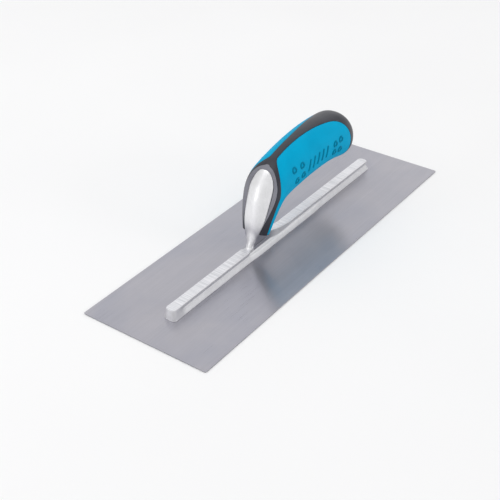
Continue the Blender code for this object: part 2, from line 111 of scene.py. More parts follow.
# Shank: front centre x, z, side edge x, z, and half-width
SHANK_ROWS = (
    (-45.6, 7.6, -42.0, 6.5, 2.8), (-44.2, 9.4, -41.5, 9.0, 2.7), (-42.7, 12.0, -40.6, 12.0, 3.1),
    (-41.7, 14.5, -39.8, 14.5, 4.1), (-40.7, 18.5, -38.9, 18.5, 5.7), (-39.6, 24.0, -37.8, 24.0, 7.4),
    (-37.7, 34.0, -34.8, 32.8, 9.8), (-35.7, 43.0, -31.2, 41.8, 10.9), (-33.4, 52.0, -27.4, 50.6, 11.4),
    (-29.7, 60.2, -24.0, 58.6, 11.3), (-26.0, 66.0, -21.6, 64.0, 10.0), (-22.8, 70.2, -20.4, 68.6, 7.6),
    (-21.0, 72.3, -19.7, 71.6, 5.0), (-20.0, 73.3, -19.3, 73.0, 2.0),
)
SHANK_BACK = 2.2
SHANK_BACK_FULL = 4.0       # half-width from which its back is that deep
SHANK_POWER = 2.2
KEEL_POWER = 1.6            # below 2 the front has a soft ridge along its middle
SHANK_SIDES = 96
SHANK_STEPS = 10
SHANK_FILLET = 1.0
SHANK_ROOM = 0.3

# Grip: upper line x, z, under line x, z, and half-width
GRIP_ROWS = (
    (-39.3, 23.0, -25.4, 19.4, 12.3), (-36.2, 44.3, -19.6, 34.2, 16.2), (-26.6, 70.2, -16.4, 41.0, 19.5),
    (-10.0, 79.8, -5.4, 40.4, 16.8), (19.0, 86.0, 22.0, 44.0, 17.4), (50.6, 88.4, 55.5, 45.4, 18.1),
    (77.5, 86.2, 80.8, 42.4, 18.4), (95.5, 83.2, 94.0, 36.4, 20.6), (106.0, 70.5, 100.5, 34.2, 19.0),
)
GRIP_POWER = 2.15
GRIP_TAIL = 30.0
GRIP_SIDES = 176
GRIP_SPACING = 1.0
TAIL_STATIONS = 36
TAIL_REACH = 0.985          # how near the last section comes to the tip
SHELL_DEPTH = 4.5
CORE_START = 26.0
CORE_SIDES = 48
CORE_SPACING = 4.0
CORE_TAIL_STATIONS = 12

# Side panels
NECK_SEAM = 80.0
CREST_SEAM = 9.8
SEAM_FALL = (30.0, 53.0)
CREST_SPREAD = 16.0
SPREAD_RANGE = (61.0, 119.0)
SPREAD_POWER = 2.2
PANEL_END = 142.6
PANEL_END_ANGLE = 105.0
BELLY_SEAM = 160.0
PANEL_DEPTH = 2.2
PANEL_EDGE = 0.8            # rounding along its rim
PANEL_SINK = 0.1            # of the rim below the shell
PANEL_RUNS = ((0.0, 53.0, 48), (53.0, 119.0, 200))   # from, to and number of stations
PANEL_END_STATIONS = 90
PANEL_END_GAP = 0.2
PANEL_COLUMNS = 150
PANEL_BACK = 12             # columns along its hidden inner face
RECESS_STATIONS = 150
RECESS_COLUMNS = 60
RECESS_END_GAP = 0.05
RECESS_ABOVE = 1.5          # how far the cut reaches above the grip

# Raised marks on the panels: rings by distance and angle, and plain ribs between them
RING_PLACES = ((57.2, 70.0), (67.8, 76.0), (59.2, 99.5), (68.5, 100.0),
               (116.8, 86.0), (125.5, 82.0), (115.2, 104.2), (124.0, 104.8))
RING_RADIUS = 2.2
RING_WIDTH = 0.8
RIB_PLACES = (78.0, 84.5, 91.0, 97.5, 104.0)
RIB_ANGLES = (81.0, 101.0)
RIB_LEAN = 0.16             # millimetres along the grip for each degree
RIB_WIDTH = 1.1
MARK_HEIGHT = 0.85
MARK_CROWN = 1.35           # over 1, so the middle of a ridge is flat

# Lip: distance along the grip and angle of its crest, for each of the last shank rows
LIP_CREST = (
    (2.0, 36.5), (9.5, 47.0), (17.2, 56.5), (26.0, 62.5), (33.0, 57.0), (37.0, 45.0), (40.0, 32.0),
    (42.0, 20.5), (43.4, 7.0),
)
LIP_STEPS = 14
LIP_BEYOND = 2.5            # how far the cut goes past the crest
LIP_ABOVE = (9.0, 13.0)     # and above the grip, at its sides and at its top

# Tang, screw and rivets
TANG_RANGE = (22.0, 104.0)
TANG_HALF = (5.4, 4.2)
TANG_DEPTH = (6.0, 4.4)
TANG_POWER = 4.0
TANG_SIDES = 24
TANG_STATIONS = 24
SCREW_TAIL = (103.5, 58.0)
SCREW_TOWARDS = (36.0, 67.0)
SCREW_RADIUS = 2.2
SCREW_HEAD_RADIUS = 4.0
SCREW_HEAD_HEIGHT = 3.6
SCREW_LENGTH = 48.6         # from the face of its head to its tip
SCREW_TIP = 0.5             # how much thinner it gets there
SCREW_SEAT = 15.0
SCREW_EDGE = 0.45           # rounding of its head
THREAD_START = 16.0         # from under the head
THREAD_TURNS = 26
THREAD_DEPTH = 0.3
HEX_RADIUS = 2.2
HEX_DEPTH = 2.2
WASHER_RADIUS = 5.0
WASHER_HEIGHT = 1.2
BORE_RADIUS = 5.6
BORE_OUTSIDE = 20.0         # how far the cut reaches out of the tail
RIVETS = 8
RIVET_FIRST = -133.0
RIVET_PITCH = 37.7
RIVET_RADIUS = 1.6
RIVET_HEAD_RADIUS = 2.8
RIVET_DEPTH = 5.5
TURNED_SIDES = 48

# Camera
CAMERA_PLACE = (-0.6018, -0.4103, 0.4775)
CAMERA_AZIMUTH = -0.93921
CAMERA_ELEVATION = 0.59493
CAMERA_ROLL = -0.008744
CAMERA_LENS = 72.604

# Stage, in metres: each light's name, place, target, size and power
LIGHTS = (
    ("back", (2.5, 1.7, 1.9), (0.0, 0.0, 0.04), 4.2, 15.0),
    ("top", (-0.45, 0.35, 1.5), (0.0, 0.0, 0.04), 1.2, 4.5),
    ("low", (0.6, -2.9, 0.85), (0.0, 0.0, 0.03), 1.1, 9.0),
    ("strip", (-2.7, 1.3, 0.60), (0.0, 0.0, 0.03), 0.9, 8.0),
)
STRIP_HEIGHT = 0.85         # the strip is a rectangle, and the others are discs
SKY_STRENGTH = 0.78
FLOOR_REACH = 6.0
FLOOR_DROP = 0.0003         # below the blade, so that the two don't coincide


# ---------------------------------------------------------------------------------------- shape helpers

def places(x, y, height):
    """Places in metres from millimetres, with the height above the blade's upper face."""
    x, y, height = np.broadcast_arrays(np.asarray(x, float), y, height)
    return np.stack([x, y, height + BLADE_THICKNESS], -1) * MM


def smooth_step(value):
    value = np.clip(value, 0.0, 1.0)
    return value * value * (3 - 2 * value)


def superellipse(angle, power):
    """The two shares of its half-sizes at which a superellipse lies at an angle."""
    return [np.sign(part) * np.abs(part) ** (2 / power) for part in (np.cos(angle), np.sin(angle))]


def blended_rows(rows, where):
    """Rows of a clamped cubic B-spline, read at where, from 0 to 1."""
    rows = np.asarray(rows, float)
    knots = np.concatenate([[0.0] * 3, np.linspace(0, 1, len(rows) - 2), [1.0] * 3])
    where = np.clip(np.atleast_1d(where), 0, 1 - 1e-9)
    weights = [((where >= low) & (where < high)).astype(float) for low, high in zip(knots, knots[1:])]
    for degree in (1, 2, 3):
        blended = []
        for i in range(len(weights) - 1):
            value = np.zeros(len(where))
            if knots[i + degree] > knots[i]:
                value += (where - knots[i]) / (knots[i + degree] - knots[i]) * weights[i]
            if knots[i + degree + 1] > knots[i + 1]:
                span = knots[i + degree + 1] - knots[i + 1]
                value += (knots[i + degree + 1] - where) / span * weights[i + 1]
            blended.append(value)
        weights = blended
    return np.stack(weights[:len(rows)], 1) @ rows


def through_rows(rows, steps):
    """Rows of a smooth curve through the given ones, in even steps between them."""
    rows = np.asarray(rows, float)
    padded = np.vstack([2 * rows[0] - rows[1], rows, 2 * rows[-1] - rows[-2]])
    made = []
    for before, start, end, after in zip(padded, padded[1:], padded[2:], padded[3:]):
        for share in np.arange(steps) / steps:
            cubic = 3 * (start - end) + after - before
            square = 2 * before - 5 * start + 4 * end - after
            made.append(start + 0.5 * share * (end - before + share * (square + share * cubic)))
    return np.array(made + [rows[-1]])


def loft(name, rings, tip=None, material_index=0):
    """A closed form through rings of equal length, with flat ends or a last point."""
    rings = np.asarray(rings, float)
    count, sides = rings.shape[:2]
    start = np.arange(count - 1)[:, None] * sides
    i = np.arange(sides)[None, :]
    j = (i + 1) % sides
    quads = np.stack([start + i, start + j, start + sides + j, start + sides + i], -1)
    faces = quads.reshape(-1, 4).tolist()
    corners = rings.reshape(-1, 3).tolist()
    faces.append(list(range(sides))[::-1])
    last = (count - 1) * sides
    if tip is None:
        faces.append(list(range(last, last + sides)))
    else:
        corners.append(list(tip))
        faces += [[last + k, last + (k + 1) % sides, count * sides] for k in range(sides)]
    mesh = bpy.data.meshes.new(name)
    mesh.from_pydata(corners, [], faces)
    shape = bmesh.new()
    shape.from_mesh(mesh)
    bmesh.ops.recalc_face_normals(shape, faces=shape.faces)
    for face in shape.faces:
        face.material_index = material_index
    shape.to_mesh(mesh)
    shape.free()
    return mesh


def turned(name, axis_start, axis_end, profile, sides=TURNED_SIDES):
    """A closed turned form: distance along the axis and radius, in millimetres."""
    axis = (axis_end - axis_start).normalized()
    across = axis.orthogonal().normalized()
    beside = axis.cross(across)
    angles = np.arange(sides) * math.tau / sides
    spokes = np.cos(angles)[:, None] * np.array(across) + np.sin(angles)[:, None] * np.array(beside)
    rings = [np.array(axis_start + axis * along * MM) + spokes * radius * MM for along, radius in profile]
    return loft(name, rings)


def hold_slots(mesh, count):
    """Gives a mesh exactly this many material slots."""
    while len(mesh.materials) < count:
        mesh.materials.append(None)
    while len(mesh.materials) > count:
        mesh.materials.pop()


def add_layer(mesh, name, values):
    """Gives a mesh a number at each point, for its material to read."""
    layer = mesh.attributes.new(name, "FLOAT", "POINT")
    layer.data.foreach_set("value", values.astype(np.float32))


def add_object(name, data):
    made = bpy.data.objects.new(name, data)
    bpy.context.scene.collection.objects.link(made)
    return made


def combined(name, mesh, steps):
    """The mesh after boolean steps, each an operation and another mesh."""
    holder = add_object(name, mesh)
    hold_slots(mesh, 2)
    others = []
    for operation, other_mesh in steps:
        other = add_object("cutter", other_mesh)
        hold_slots(other_mesh, 2)
        step = holder.modifiers.new(operation, "BOOLEAN")
        step.operation = operation
        step.object = other
        step.solver = "MANIFOLD"
        others.append(other)
    bpy.context.view_layer.update()
    made = bpy.data.meshes.new_from_object(holder.evaluated_get(bpy.context.evaluated_depsgraph_get()))
    for item in [holder] + others:
        bpy.data.objects.remove(item, do_unlink=True)
    made.name = name
    return made


def sharpen_borders(mesh):
    """Edges between two materials are marked sharp."""
    shape = bmesh.new()
    shape.from_mesh(mesh)
    for edge in shape.edges:
        if len({face.material_index for face in edge.link_faces}) > 1:
            edge.smooth = False
    shape.to_mesh(mesh)
    shape.free()


def piece(name, mesh, surfaces, slot, *nodes, sharp=32):
    """Adds a shown piece with its materials, which stands for the CAD nodes named."""
    made = add_object(name, mesh)
    hold_slots(mesh, len(surfaces))
    for index, surface in enumerate(surfaces):
        mesh.materials[index] = surface
    mesh.shade_smooth()
    mesh.set_sharp_from_angle(angle=math.radians(sharp))
    if len(surfaces) > 1:
        sharpen_borders(mesh)
    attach(made, BODY)
    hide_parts(*nodes)


# ---------------------------------------------------------------------------------------- grip form

GRIP_FINE = blended_rows(GRIP_ROWS, np.linspace(0, 1, 1600))
GRIP_MIDDLE = (GRIP_FINE[:, 0:2] + GRIP_FINE[:, 2:4]) / 2
GRIP_TRAVEL = np.concatenate([[0.0], np.cumsum(np.hypot(*np.diff(GRIP_MIDDLE, axis=0).T))])
GRIP_LENGTH = float(GRIP_TRAVEL[-1])


def on_grip(distance, degrees, inset=0.0):
    """Places on the grip, or inset below its surface."""
    distance, degrees, inset = np.broadcast_arrays(np.asarray(distance, float), degrees, inset)
    top_x, top_z, under_x, under_z, half = [np.interp(distance, GRIP_TRAVEL, column)
                                            for column in GRIP_FINE.T]
    middle_x, middle_z = (top_x + under_x) / 2, (top_z + under_z) / 2
    rise_x, rise_z = top_x - middle_x, top_z - middle_z
    depth = np.hypot(rise_x, rise_z)
    past = np.maximum(0.0, distance - (GRIP_LENGTH - GRIP_TAIL))
    shrink = np.sqrt(np.clip(1 - (past / (GRIP_TAIL - inset)) ** 2, 0.0, 1.0))
    up, across = superellipse(np.radians(degrees), GRIP_POWER)
    up = up * (depth - inset) / depth * shrink
    across = across * (half - inset) * shrink
    return places(middle_x + rise_x * up, across, middle_z + rise_z * up)


def grip_form(name, start, inset, sides, spacing, tail_stations):
    tail_start = GRIP_LENGTH - GRIP_TAIL
    even = np.linspace(start, tail_start, round((tail_start - start) / spacing), endpoint=False)
    bends = np.linspace(0, math.asin(TAIL_REACH), tail_stations)
    stations = np.concatenate([even, tail_start + (GRIP_TAIL - inset) * np.sin(bends)])
    degrees = np.arange(sides) * 360 / sides
    return loft(name, on_grip(stations[:, None], degrees[None, :], inset),
                tip=on_grip(GRIP_LENGTH - inset, 0, inset))


def tail_turn(distance):
    """How far the seams have turned towards the panel's end, from 0 to 1."""
    along = np.clip((distance - SPREAD_RANGE[1]) / (PANEL_END - SPREAD_RANGE[1]), 0, 1)
    return 1 - np.sqrt(1 - along ** 3)


def upper_seam(distance):
    start, end = SEAM_FALL
    low, high = SPREAD_RANGE
    fall = smooth_step((distance - start) / (end - start))
    spread = np.maximum(0.0, distance - low) / (high - low)
    seam = NECK_SEAM + (CREST_SEAM - NECK_SEAM) * fall + CREST_SPREAD * spread ** SPREAD_POWER
    return seam + (PANEL_END_ANGLE - seam) * tail_turn(distance)


def lower_seam(distance):
    return BELLY_SEAM + (PANEL_END_ANGLE - BELLY_SEAM) * tail_turn(distance)


def panel_grid(stations, columns, grow=0.0):
    """Distances and angles over a side panel, evenly spaced round each section."""
    low, high = upper_seam(stations), lower_seam(stations)
    fine = low[:, None] + (high - low)[:, None] * np.linspace(0, 1, 161)[None, :]
    rows = on_grip(stations[:, None], fine)
    steps = np.linalg.norm(np.diff(rows, axis=1), axis=2)
    travel = np.concatenate([np.zeros((len(stations), 1)), np.cumsum(steps, axis=1)], axis=1)
    angles = []
    for row, angle in zip(travel, fine):
        degree = (angle[-1] - angle[0]) / max(row[-1], 0.2 * MM)
        share = np.linspace(0, row[-1], columns)
        spread = np.interp(share, row, angle)
        spread[0] -= degree * grow * MM
        spread[-1] += degree * grow * MM
        angles.append(spread)
    return np.repeat(stations[:, None], columns, 1), np.array(angles)


def panel_stations(runs, end_count, end_gap):
    turn = SPREAD_RANGE[1]
    bends = np.linspace(0, math.pi / 2, end_count)
    return np.concatenate([np.linspace(low, high, count, endpoint=False) for low, high, count in runs]
                          + [turn + (PANEL_END - end_gap - turn) * np.sin(bends)])


def rim_distance(surface):
    """How far each place of a panel's surface is from its rim, in millimetres."""
    rim = np.concatenate([surface[0], surface[-1], surface[:, 0], surface[:, -1]])
    far = np.empty(surface.shape[:2])
    for i, row in enumerate(surface):
        far[i] = np.sqrt(((row[:, None, :] - rim[None, ::2, :]) ** 2).sum(2).min(1))
    return far / MM


def ridge(distance, width):
    """Height from 0 to 1 across a round-topped ridge."""
    return smooth_step(MARK_CROWN * (1 - distance / width))


def marks_height(surface):
    """Height of the raised rings and ribs over a panel's surface."""
    height = np.zeros(surface.shape[:2])
    for along, angle in RING_PLACES:
        centre = on_grip(along, angle)
        away = np.linalg.norm(surface - centre, axis=2) / MM
        height = np.maximum(height, ridge(np.abs(away - RING_RADIUS), RING_WIDTH))
    low, high = RIB_ANGLES
    for along in RIB_PLACES:
        middle = (low + high) / 2
        first = on_grip(along - RIB_LEAN * (low - middle), low)
        last = on_grip(along - RIB_LEAN * (high - middle), high)
        span = last - first
        share = np.clip(((surface - first) @ span) / (span @ span), 0, 1)
        away = np.linalg.norm(surface - (first + share[..., None] * span), axis=2) / MM
        height = np.maximum(height, ridge(away, RIB_WIDTH))
    return height * MARK_HEIGHT


def panel_mesh(name, side):
    """A side panel with a rounded rim and its raised marks."""
    stations = panel_stations(PANEL_RUNS, PANEL_END_STATIONS, PANEL_END_GAP)
    distance, degrees = panel_grid(stations, PANEL_COLUMNS)
    surface = on_grip(distance, degrees)
    near_rim = np.clip(rim_distance(surface), 0, PANEL_EDGE)
    inset = PANEL_SINK + PANEL_EDGE - np.sqrt(PANEL_EDGE ** 2 - (PANEL_EDGE - near_rim) ** 2)
    inset = inset - PANEL_SINK * smooth_step(near_rim / PANEL_EDGE)
    height = marks_height(surface)
    inset = inset - height
    outer = on_grip(distance, side * degrees, inset)
    kept = np.linspace(PANEL_COLUMNS - 1, 0, PANEL_BACK).round().astype(int)
    inner = on_grip(distance[:, kept], side * degrees[:, kept], PANEL_DEPTH)
    mesh = loft(name, np.concatenate([outer, inner], axis=1))
    # The slope of the raised marks, kept as a layer for the painted shade along them
    along = np.abs(np.gradient(height, axis=0)) / np.maximum(np.gradient(distance, axis=0), 0.05)
    width = np.linalg.norm(np.gradient(surface, axis=1), axis=2) / MM
    across = np.abs(np.gradient(height, axis=1)) / np.maximum(width, 0.05)
    slope = np.concatenate([np.hypot(along, across), np.zeros((len(stations), PANEL_BACK))], axis=1)
    add_layer(mesh, "mark_shade", np.clip(slope.ravel(), 0.0, 1.0))
    return mesh


def recess_mesh(name, side):
    """The space that a side panel sits in."""
    stations = panel_stations(((0.0, SPREAD_RANGE[1], RECESS_STATIONS),), RECESS_COLUMNS, RECESS_END_GAP)
    distance, degrees = panel_grid(stations, RECESS_COLUMNS, ROOM)
    distance[0] -= 1.0
    outer = on_grip(distance, side * degrees, -RECESS_ABOVE)
    inner = on_grip(distance, side * degrees, PANEL_DEPTH + ROOM)
    return loft(name, np.concatenate([outer, inner[:, ::-1]], axis=1))


# ---------------------------------------------------------------------------------------- cast mounting

def shank_mesh(name, grow=0.0):
    rings = []
    for front_x, front_z, edge_x, edge_z, half in through_rows(SHANK_ROWS, SHANK_STEPS):
        edge = np.array((edge_x, edge_z))
        forward = np.array((front_x, front_z)) - edge
        unit = forward / np.linalg.norm(forward)
        forward = forward + unit * grow
        backward = unit * -(SHANK_BACK * min(1.0, half / SHANK_BACK_FULL) + grow)
        angle = np.arange(SHANK_SIDES) * math.tau / SHANK_SIDES
        power = np.where(np.cos(angle) > 0, KEEL_POWER, SHANK_POWER)
        reach, across = superellipse(angle, power)
        offset = np.where(reach[:, None] > 0, forward * reach[:, None], backward * -reach[:, None])
        x, z = edge[0] + offset[:, 0], edge[1] + offset[:, 1]
        y = (half + grow) * across
        if grow == 0.0:
            rise = np.clip(z - RAIL_TOP, 0.0, SHANK_FILLET)
            flare = SHANK_FILLET - np.sqrt(SHANK_FILLET ** 2 - (SHANK_FILLET - rise) ** 2)
            x = x - flare * np.clip(np.cos(angle), 0.0, 1.0)
        rings.append(places(x, y, z))
    return loft(name, rings)


def web_mesh(name, shank):
    """The web as upright sections along X, filleted into the back of the shank."""
    rows = np.array(WEB_ROWS)
    stations = np.unique(np.concatenate([np.arange(*WEB_FINE), np.arange(*WEB_COARSE), rows[:, 0]]))
    tops = np.interp(stations, rows[:, 0], rows[:, 1])
    halves = np.interp(stations, rows[:, 0], rows[:, 2])
    shape = bmesh.new()
    shape.from_mesh(shank)
    tree = BVHTree.FromBMesh(shape)
    shape.free()
    levels = np.concatenate([[0.0], np.linspace(0.12, 1.0, 26)])
    rings = []
    for x, top, half in zip(stations, tops, halves):
        heights = WEB_FOOT + (top - WEB_EDGE - WEB_FOOT) * levels
        widths = []
        for height in heights:
            hit = tree.ray_cast(Vector(places(WEB_BEHIND, half, height)), Vector((-1, 0, 0)))[0]
            away = x - hit.x / MM if hit is not None else WEB_FILLET
            away = min(max(away, 0.0), WEB_FILLET)
            swell = WEB_FILLET - math.sqrt(WEB_FILLET ** 2 - (WEB_FILLET - away) ** 2)
            widths.append(half + swell * (height > WEB_FILLET_FOOT))
        side = list(zip(widths, heights))
        bevel = [(half - WEB_EDGE * (1 - math.cos(bend)), top - WEB_EDGE * (1 - math.sin(bend)))
                 for bend in np.linspace(0.3, math.pi / 2, 5)]
        upper = side + bevel
        section = upper + [(-width, height) for width, height in reversed(upper)]
        rings.append([places(x, width, height) for width, height in section])
    return loft(name, rings)


def zone_share(x, zone):
    """0 outside a zone and 1 inside it, with a smooth change at each end."""
    rise = smooth_step((x - zone[0]) / (zone[1] - zone[0]))
    return rise * (1 - smooth_step((x - zone[2]) / (zone[3] - zone[2])))


def rail_mesh(name):
    """The rail as a stack of long plans, each with the half-width of its height."""
    widest = max(row[1] for row in RAIL_PROFILE)
    rings = []
    for height, wide, beside in through_rows(RAIL_PROFILE, 4):
        solid = widest - TOE_SLOPE * height - (RIM_STEP if height > RAIL_RIM else 0.0)
        if height < RAIL_BASE:
            solid = wide
        start = RAIL_START + widest - solid
        end = RAIL_END - (widest - wide)
        corner = min(RAIL_CORNER, wide)
        run = np.arange(RAIL_START + widest + RAIL_CORNER, RAIL_END - widest - RAIL_CORNER, RAIL_SPACING)
        zone = FOOT_SWELL if height < FOOT_TOP else NECK_ZONE

        def half_at(x):
            share = zone_share(x, zone)
            toe = 1 - smooth_step((x - TOE_SOLID[0]) / (TOE_SOLID[1] - TOE_SOLID[0]))
            plain = wide * (1 + (beside / wide - 1) * share)
            return plain * (1 - toe) + solid * toe

        right_x = end - corner + corner * np.cos(QUARTER_TURN)
        right_y = half_at(right_x) - corner + corner * np.sin(QUARTER_TURN)
        left_x = start + corner - corner * np.sin(QUARTER_TURN)
        left_y = half_at(left_x) - corner + corner * np.cos(QUARTER_TURN)
        side_x = np.concatenate([right_x, run[::-1], left_x])
        side_y = np.concatenate([right_y, half_at(run[::-1]), left_y])
        x = np.concatenate([side_x, side_x[::-1]])
        y = np.concatenate([side_y, -side_y[::-1]])
        rings.append(places(x, y, height))
    return loft(name, rings)


def tang_mesh(name):
    start, end = TANG_RANGE
    rings = []
    for share in np.linspace(0, 1, TANG_STATIONS):
        distance = start + (end - start) * share
        half = TANG_HALF[0] + (TANG_HALF[1] - TANG_HALF[0]) * share
        depth = TANG_DEPTH[0] + (TANG_DEPTH[1] - TANG_DEPTH[0]) * share
        top, under = on_grip(distance, 0), on_grip(distance, 180)
        middle, rise = (top + under) / 2, (top - under) / np.linalg.norm(top - under)
        up, across = superellipse(np.arange(TANG_SIDES) * math.tau / TANG_SIDES, TANG_POWER)
        ring = middle + (up * depth * MM)[:, None] * rise
        ring[:, 1] += across * half * MM
        rings.append(ring)
    return loft(name, rings)


def lip_space(name):
    """The space in front of the shell's bevelled rim."""
    edges = SHANK_ROWS[-len(LIP_CREST):]
    rows = [(*crest, x, z, half) for crest, (_, _, x, z, half) in zip(LIP_CREST, edges)]
    rings = []
    for distance, degrees, x, z, half in through_rows(rows, LIP_STEPS):
        sides = []
        for side in (1, -1):
            edge = places(x, side * (half - ROOM), z + ROOM)
            crest = on_grip(distance, side * degrees)
            beyond = crest + (crest - edge) / np.linalg.norm(crest - edge) * LIP_BEYOND * MM
            sides.append([edge, beyond, on_grip(distance, side * degrees, -LIP_ABOVE[0])])
        rings.append(sides[0] + [on_grip(distance, 0, -LIP_ABOVE[1])] + sides[1][::-1])
    return loft(name, rings, material_index=1)


def screw_place(distance):
    tail = Vector(places(SCREW_TAIL[0], 0, SCREW_TAIL[1]))
    towards = Vector(places(SCREW_TOWARDS[0], 0, SCREW_TOWARDS[1]))
    return tail + (towards - tail).normalized() * distance * MM


# ---------------------------------------------------------------------------------------- materials

class Surface:
    """A material while it is built: its shader, and the pattern nodes that feed it."""

    def __init__(self, name, **values):
        self.material = bpy.data.materials.new(name)
        self.material.use_nodes = True
        self.tree = self.material.node_tree
        self.shader = self.tree.nodes["Principled BSDF"]
        for socket, value in values.items():
            self.shader.inputs[socket.replace("_", " ")].default_value = value
        self.where = self.node("ShaderNodeTexCoord").outputs["Object"]

    def node(self, kind, **values):
        made = self.tree.nodes.new(kind)
        for field, value in values.items():
            setattr(made, field, value)
        return made

    def link(self, source, target):
        self.tree.links.new(source, target)

    def stretched(self, scale, turn):
        """Coordinates in metres scaled by axis, after a turn."""
        mapping = self.node("ShaderNodeMapping", vector_type="POINT")
        mapping.inputs["Scale"].default_value = scale
        mapping.inputs["Rotation"].default_value = turn
        self.link(self.where, mapping.inputs["Vector"])
        return mapping.outputs["Vector"]

    def noise(self, scale, detail=3.0, rough=0.55, warp=0.0, turn=(0.0, 0.0, 0.0)):
        texture = self.node("ShaderNodeTexNoise")
        texture.inputs["Scale"].default_value = 1.0
        texture.inputs["Detail"].default_value = detail
        texture.inputs["Roughness"].default_value = rough
        texture.inputs["Distortion"].default_value = warp
        self.link(self.stretched(scale, turn), texture.inputs["Vector"])
        return texture.outputs["Fac"]

    def ramp(self, value, *stops):
        """A value turned into a colour, or into a grey number, by its stops."""
        ramp = self.node("ShaderNodeValToRGB")
        elements = ramp.color_ramp.elements
        while len(elements) < len(stops):
            elements.new(0.5)
        for element, (position, colour) in zip(elements, stops):
            element.position = position
            element.color = (*colour, 1.0) if isinstance(colour, tuple) else (colour, colour, colour, 1.0)
        self.link(value, ramp.inputs["Fac"])
        return ramp.outputs["Color"]

    def math(self, operation, first, second):
        made = self.node("ShaderNodeMath", operation=operation)
        for socket, value in zip(made.inputs, (first, second)):
            if isinstance(value, (int, float)):
                socket.default_value = value
            else:
                self.link(value, socket)
        return made.outputs["Value"]

    def blend(self, kind, share, first, second):
        """Two colours mixed: share and either colour may be a number or a socket."""
        made = self.node("ShaderNodeMix", data_type="RGBA", blend_type=kind)
        for socket, value in ((made.inputs[0], share), (made.inputs[6], first), (made.inputs[7], second)):
            if isinstance(value, (int, float)):
                socket.default_value = value
            elif isinstance(value, tuple):
                socket.default_value = (*value, 1.0)
            else:
                self.link(value, socket)
        return made.outputs[2]

    def colour(self, value):
        self.link(value, self.shader.inputs["Base Color"])

    def rough(self, value):
        self.link(value, self.shader.inputs["Roughness"])

    def bump(self, *layers):
        """Bumps from several heights, each with its depth in metres."""
        normal = None
        for height, depth in layers:
            bump = self.node("ShaderNodeBump")
            bump.inputs["Distance"].default_value = depth
            self.link(height, bump.inputs["Height"])
            if normal is not None:
                self.link(normal, bump.inputs["Normal"])
            normal = bump.outputs["Normal"]
        self.link(normal, self.shader.inputs["Normal"])

    def worn(self, low, high):
        """How far an edge stands out, from 0 to 1."""
        return self.ramp(self.pointiness(), (low, 0.0), (high, 1.0))

    def pointiness(self):
        return self.node("ShaderNodeNewGeometry").outputs["Pointiness"]

    def layer(self, name):
        """The number that add_layer gave to each point of the mesh."""
        return self.node("ShaderNodeAttribute", attribute_name=name).outputs["Fac"]


def brushed_steel():
    s = Surface("brushed_steel", Metallic=0.65, Anisotropic=0.8)
    streaks = s.noise((14, 2600, 2600), detail=4, rough=0.7)
    bands = s.noise((5, 130, 130), detail=3)
    clouds = s.noise((16, 24, 24), detail=4, warp=0.6)
    steel = s.ramp(streaks, (0.30, (0.385, 0.377, 0.412)), (0.70, (0.446, 0.438, 0.480)))
    steel = s.blend("MULTIPLY", 0.55, steel, s.ramp(bands, (0.30, 0.93), (0.70, 1.0)))
    smudges = s.ramp(clouds, (0.32, (0.86, 0.88, 0.92)), (0.66, (1.0, 1.0, 1.0)))
    steel = s.blend("MULTIPLY", 0.9, steel, smudges)
    s.colour(steel)
    rough = s.math("ADD", s.math("MULTIPLY", streaks, 0.10), s.math("MULTIPLY", clouds, 0.08))
    s.rough(s.math("ADD", rough, 0.21))
    tangent = s.node("ShaderNodeTangent", direction_type="UV_MAP", uv_map="along")
    s.link(tangent.outputs["Tangent"], s.shader.inputs["Tangent"])
    s.bump((streaks, 0.000001), (clouds, 0.00002))
    return s.material


def cast_aluminium():
    s = Surface("cast_aluminium", Metallic=1.0)
    grain = s.noise((900, 900, 900), detail=4, rough=0.65)
    mottle = s.noise((160, 160, 120), detail=4, warp=0.5)
    drawn = s.noise((700, 700, 60), detail=3, turn=(0.0, -0.2, 0.0))
    metal = s.ramp(mottle, (0.30, (0.83, 0.83, 0.845)), (0.70, (0.91, 0.91, 0.925)))
    metal = s.blend("MULTIPLY", 0.5, metal, s.ramp(grain, (0.30, 0.90), (0.65, 1.0)))
    metal = s.blend("MIX", s.worn(0.52, 0.60), metal, (0.93, 0.93, 0.94))
    # Painted shade in the hollows of the casting, where pointiness is low
    metal = s.blend("MULTIPLY", 1.0, metal, s.ramp(s.pointiness(), (0.40, 0.45), (0.49, 1.0)))
    # Painted shade behind the shank, from the layer that mounting_mesh adds
    painted_shade_tone = s.ramp(s.layer("painted_shade"), (0.0, (1.0, 1.0, 1.0)), (1.0, (0.46, 0.46, 0.50)))
    metal = s.blend("MULTIPLY", 1.0, metal, painted_shade_tone)
    s.colour(metal)
    rough = s.math("ADD", s.math("MULTIPLY", mottle, 0.10), s.math("MULTIPLY", drawn, 0.08))
    base = s.math("ADD", s.math("MULTIPLY", s.layer("satin"), 0.10), 0.32)
    s.rough(s.math("ADD", rough, base))
    s.bump((drawn, 0.00002), (grain, 0.00002), (mottle, 0.00004))
    return s.material


def milled_aluminium():
    s = Surface("milled_aluminium", Metallic=1.0)
    cuts = s.noise((1500, 30, 30), detail=3, rough=0.6, warp=0.15, turn=(0.0, 0.0, 0.14))
    passes = s.noise((800, 20, 20), detail=2, turn=(0.0, 0.0, 0.14))
    grain = s.noise((1200, 1200, 1200), detail=2)
    metal = s.ramp(cuts, (0.36, (0.60, 0.61, 0.64)), (0.60, (0.80, 0.80, 0.83)))
    metal = s.blend("MULTIPLY", 0.6, metal, s.ramp(passes, (0.34, 0.93), (0.62, 1.0)))
    s.colour(metal)
    rough = s.math("ADD", s.math("MULTIPLY", cuts, 0.22), s.math("MULTIPLY", grain, 0.10))
    s.rough(s.math("ADD", rough, 0.28))
    s.bump((cuts, 0.00003), (grain, 0.00001))
    return s.material


